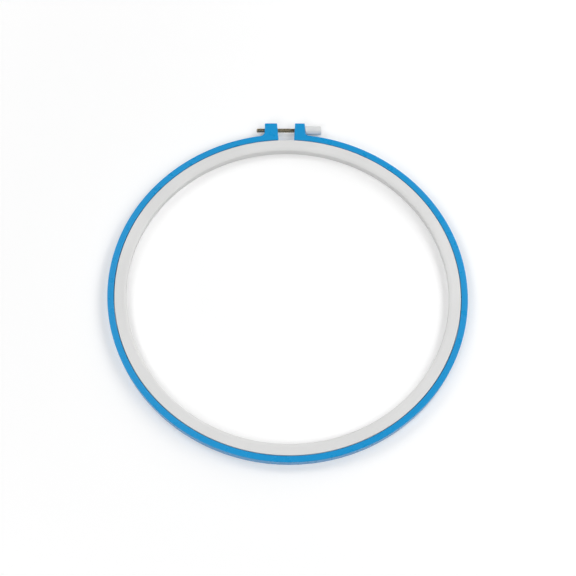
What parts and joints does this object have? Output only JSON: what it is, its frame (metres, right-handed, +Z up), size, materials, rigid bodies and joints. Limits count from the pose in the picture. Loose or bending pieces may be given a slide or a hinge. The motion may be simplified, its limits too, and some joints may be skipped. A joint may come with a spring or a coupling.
{
  "type": "embroidery hoop",
  "caption": "Round plastic embroidery hoop: a closed inner hoop held in a split outer hoop, whose two lugs a knobbed thumbscrew draws together.",
  "frame": {"origin": "middle of the whole outline seen from above, on the plane that the hoop lies on", "axes": "+Z up, along the hoops' axis; +Y from the hoops' centre towards the clamp lugs; +X along the thumbscrew, towards its knob"},
  "size_m": [0.3168, 0.328, 0.0095],
  "materials": {
    "white_plastic": "moulded white plastic, satin",
    "blue_plastic": "moulded sky-blue plastic, satin",
    "knob_plastic": "moulded natural white plastic, slightly cloudy",
    "dark_brass": "antique brass plating, dark in the thread"
  },
  "bodies": {
    "inner_hoop": {"inner_hoop": "white_plastic"},
    "outer_hoop": {"outer_hoop": "blue_plastic", "square_nut": "dark_brass"},
    "screw": {"screw_shank": "dark_brass"},
    "knob": {"screw_knob": "knob_plastic"}
  },
  "joints": [
    {"name": "hoop_lift", "type": "slide", "parent": "inner_hoop", "child": "outer_hoop", "axis": [0, 0, 1], "range_m": [0, 0.03]},
    {"name": "screw_travel", "type": "slide", "parent": "outer_hoop", "child": "screw", "axis": [1, 0, 0], "range_m": [0, 0.0105]},
    {"name": "knob_turn", "type": "hinge", "parent": "screw", "child": "knob", "pos_m": [0.0176, 0.15895, 0.00475], "axis": [1, 0, 0], "range_deg": [0, 5400]}
  ],
  "couplings": [
    {"joint": "knob_turn", "follows": "screw_travel", "rad_per_m": 8976}
  ]
}
